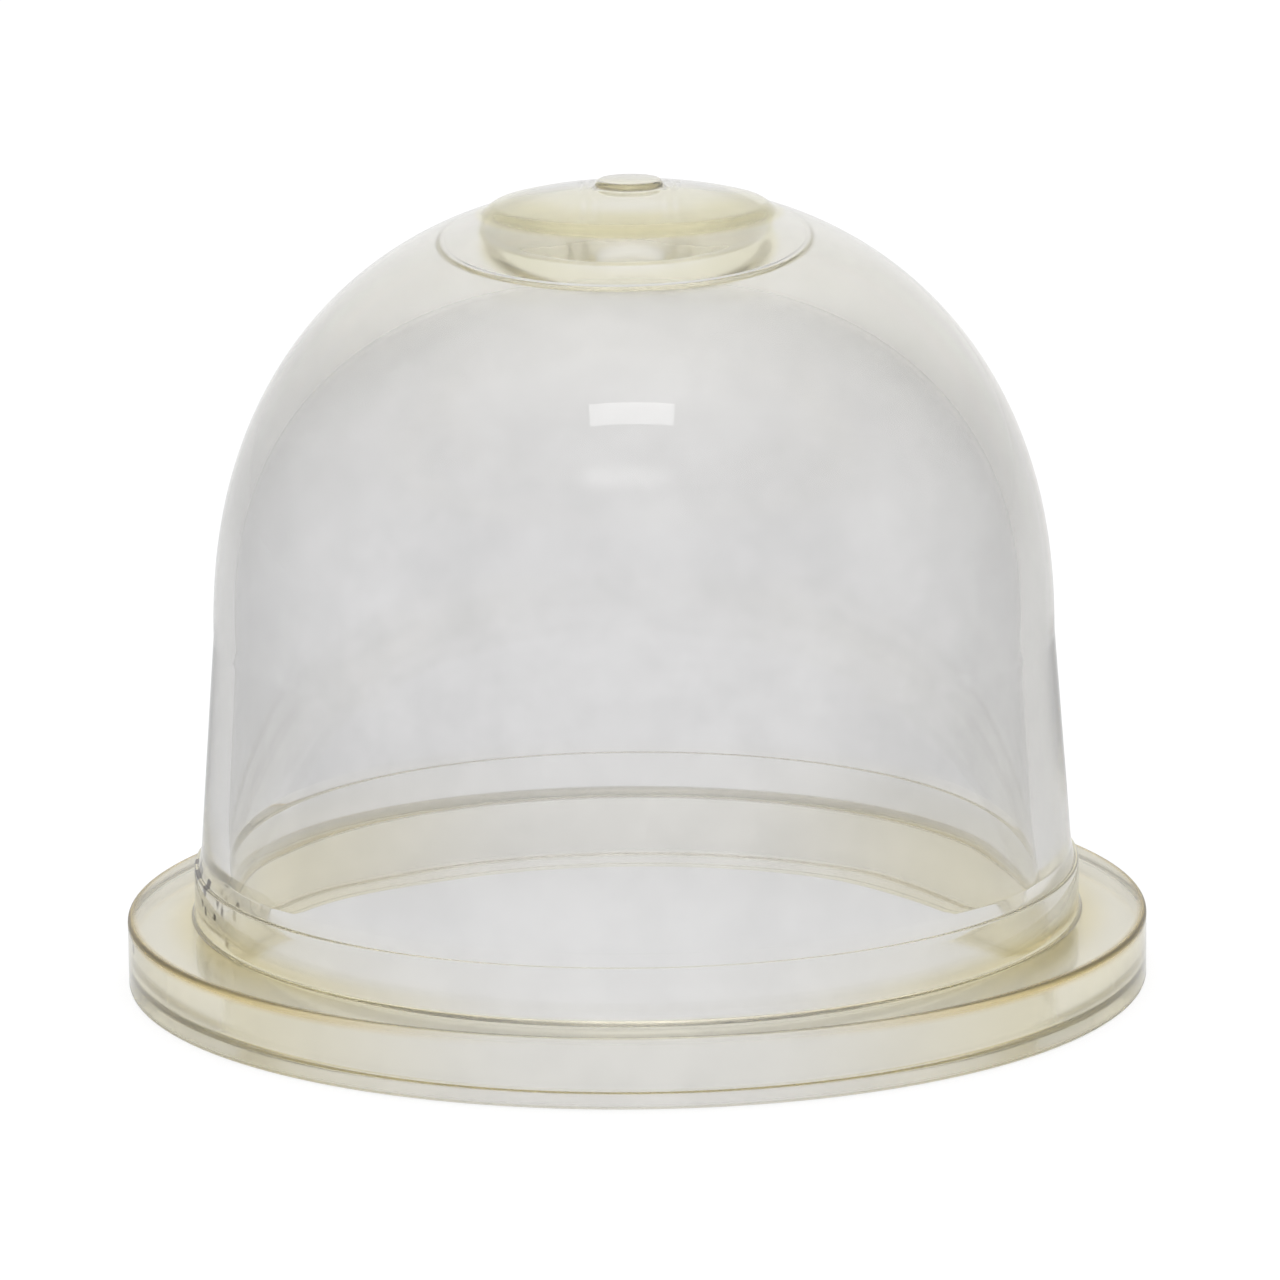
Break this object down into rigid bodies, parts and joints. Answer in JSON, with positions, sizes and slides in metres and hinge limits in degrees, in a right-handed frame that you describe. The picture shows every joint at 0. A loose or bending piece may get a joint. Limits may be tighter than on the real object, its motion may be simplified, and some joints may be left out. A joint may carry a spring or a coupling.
{
  "type": "primer bulb",
  "caption": "Clear domed squeeze bulb with a round clamping flange, open underneath, for priming a small engine's carburettor.",
  "frame": {"origin": "middle of the flange's flat underside", "axes": "+Z along the bulb's axis, from the flange towards the crown"},
  "size_m": [0.022, 0.022, 0.0174],
  "materials": {
    "clear_polyurethane": "clear, slightly yellowed, glossy with light scuffs"
  },
  "bodies": {
    "root": {"primer_bulb": "clear_polyurethane"}
  },
  "joints": []
}
